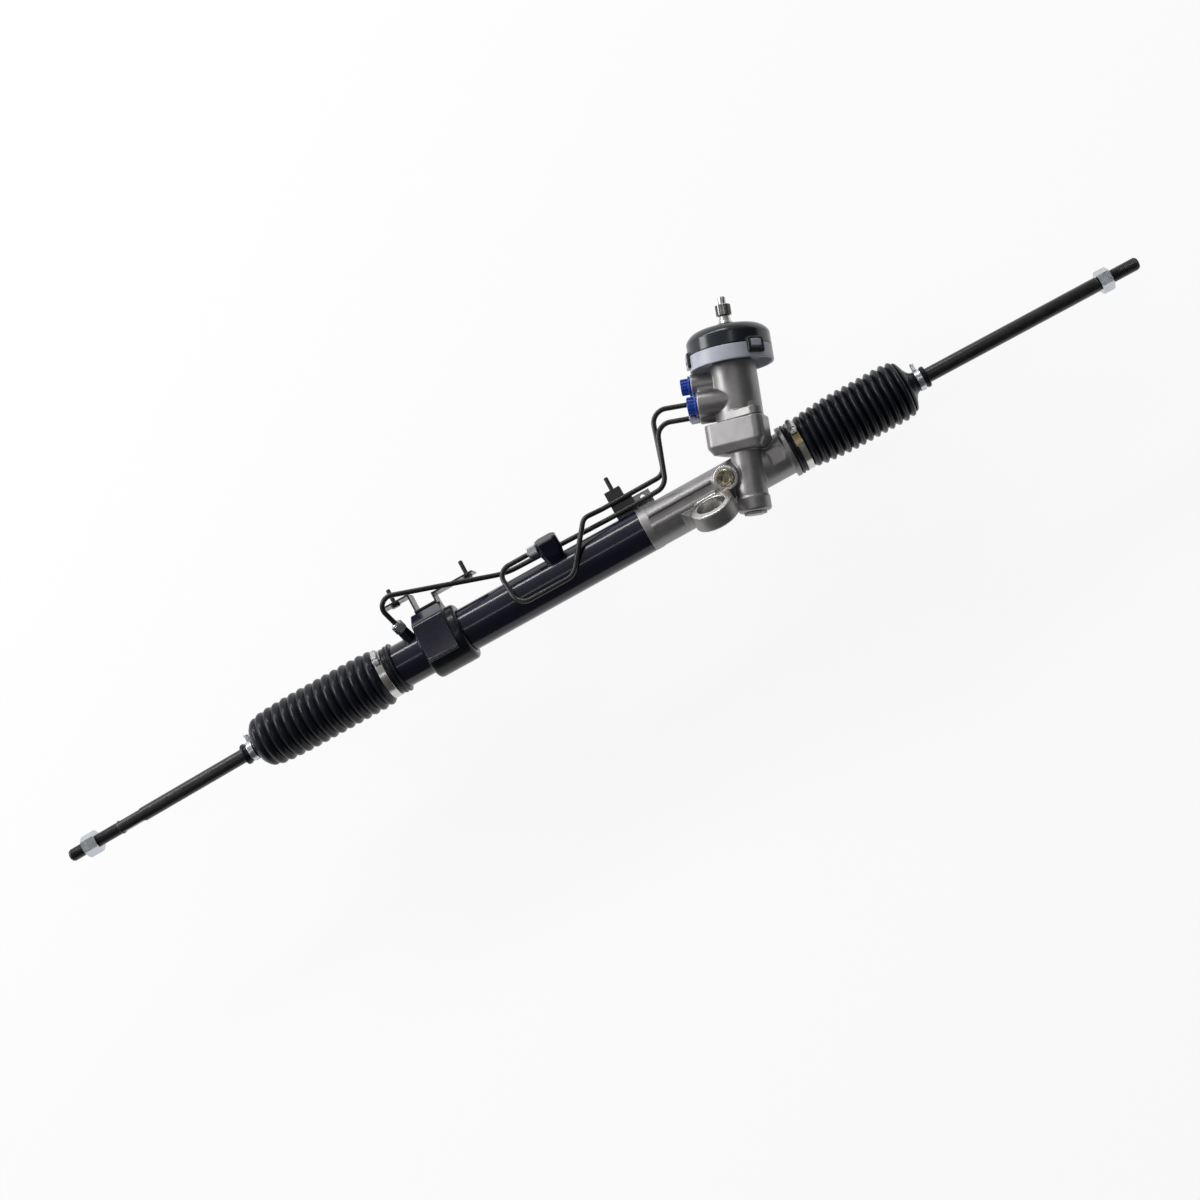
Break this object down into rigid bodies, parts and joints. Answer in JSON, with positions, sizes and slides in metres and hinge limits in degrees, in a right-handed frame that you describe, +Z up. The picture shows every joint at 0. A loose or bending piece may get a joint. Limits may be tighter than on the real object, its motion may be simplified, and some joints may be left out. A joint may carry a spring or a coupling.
{
  "type": "steering rack",
  "caption": "Hydraulic power rack-and-pinion steering gear: tube with toothed bar and piston, pinion tower with rotary valve, bellows boots, jointed tie rods and transfer pipes",
  "frame": {"origin": "middle of the gear's bounding box at the level of the surface it lies on", "axes": "+X along the rack towards the pinion end, +Y towards the input shaft, +Z up from the bench it lies on"},
  "size_m": [1.2946, 0.2236, 0.0966],
  "materials": {
    "cast_aluminium": "as-cast, satin",
    "black_paint": "gloss black paint",
    "black_rod": "satin black coating",
    "bright_steel": "machined steel",
    "zinc_steel": "zinc plated",
    "black_rubber": "satin rubber",
    "bearing_bronze": "plain bronze",
    "pale_plastic": "matt moulded plastic",
    "blue_plastic": "moulded plastic",
    "brass": "machined brass",
    "pipe_coating": "dark coated steel",
    "grey_plastic": "moulded plastic"
  },
  "bodies": {
    "housing": {"rack_housing": "cast_aluminium", "housing_plug": "brass", "cylinder_tube": "black_paint", "end_bush": "bearing_bronze", "end_seal": "black_rubber", "end_retainer": "bright_steel", "inner_bush": "bearing_bronze", "inner_seal": "black_rubber", "lower_bearing": "bright_steel", "pinion_bearing": "bright_steel", "lower_cap": "cast_aluminium", "valve_housing": "cast_aluminium", "upper_bearing": "bright_steel", "input_seal": "black_rubber", "valve_bolts": "zinc_steel", "pressure_plug": "blue_plastic", "return_plug": "blue_plastic", "dust_cap": "black_rubber", "cap_ring": "pale_plastic", "boot_left": "black_rubber", "boot_right": "black_rubber", "clamp_left": "zinc_steel", "clamp_right": "zinc_steel", "yoke_plug": "bright_steel", "yoke_spring": "bright_steel", "saddle_bracket": "black_paint", "saddle_bush": "black_rubber", "stud_strip": "zinc_steel", "strip_studs": "zinc_steel", "middle_port": "black_paint", "end_port": "black_paint", "pipe_nut_middle": "zinc_steel", "pipe_nut_end": "zinc_steel", "pipe_nut_upper": "zinc_steel", "pipe_nut_lower": "zinc_steel", "transfer_pipe_upper": "pipe_coating", "transfer_pipe_lower": "pipe_coating", "pipe_clamp": "grey_plastic", "clamp_stud": "zinc_steel", "clamp_plate": "zinc_steel"},
    "rack": {"rack_bar": "bright_steel", "piston": "bright_steel", "piston_ring": "pale_plastic", "lock_washers": "bright_steel", "socket_left": "bright_steel", "socket_right": "bright_steel", "ball_seat_left": "pale_plastic", "ball_seat_right": "pale_plastic"},
    "pinion": {"pinion_shaft": "bright_steel", "valve_sleeve": "bright_steel", "sleeve_rings": "pale_plastic"},
    "input_shaft": {"input_shaft": "bright_steel", "torsion_bar": "bright_steel"},
    "yoke": {"yoke": "cast_aluminium"},
    "tie_rod_left": {"tie_rod_left": "black_rod", "jam_nut_left": "zinc_steel", "small_clip_left": "zinc_steel"},
    "tie_rod_right": {"tie_rod_right": "black_rod", "jam_nut_right": "zinc_steel", "small_clip_right": "zinc_steel"}
  },
  "joints": [
    {"name": "rack_slide", "type": "slide", "parent": "housing", "child": "rack", "axis": [1, 0, 0], "range_m": [-0.064, 0.08], "deforming": ["boot_left", "boot_right"]},
    {"name": "pinion_spin", "type": "hinge", "parent": "housing", "child": "pinion", "pos_m": [0.1966, -0.06446, 0.04806], "axis": [0.3363, 0.9418, 0], "range_deg": [-575, 460]},
    {"name": "input_twist", "type": "hinge", "parent": "pinion", "child": "input_shaft", "pos_m": [0.1966, -0.06446, 0.04806], "axis": [0.3363, 0.9418, 0], "range_deg": [-4, 4], "stiffness_Nm_per_rad": 2},
    {"name": "yoke_slide", "type": "slide", "parent": "housing", "child": "yoke", "axis": [0, 0, 1], "range_m": [-0.00015, 0], "stiffness_N_per_m": 2000, "springref_m": 0.002},
    {"name": "tie_rod_left", "type": "hinge", "parent": "rack", "child": "tie_rod_left", "pos_m": [-0.3353, -0.06446, 0.0325], "axis": [0, -0.5, 0.866], "range_deg": [-20, 20]},
    {"name": "tie_rod_right", "type": "hinge", "parent": "rack", "child": "tie_rod_right", "pos_m": [0.3353, -0.06446, 0.0325], "axis": [0, -0.5, 0.866], "range_deg": [-20, 20]}
  ],
  "couplings": [
    {"joint": "pinion_spin", "follows": "rack_slide", "rad_per_m": -125}
  ]
}
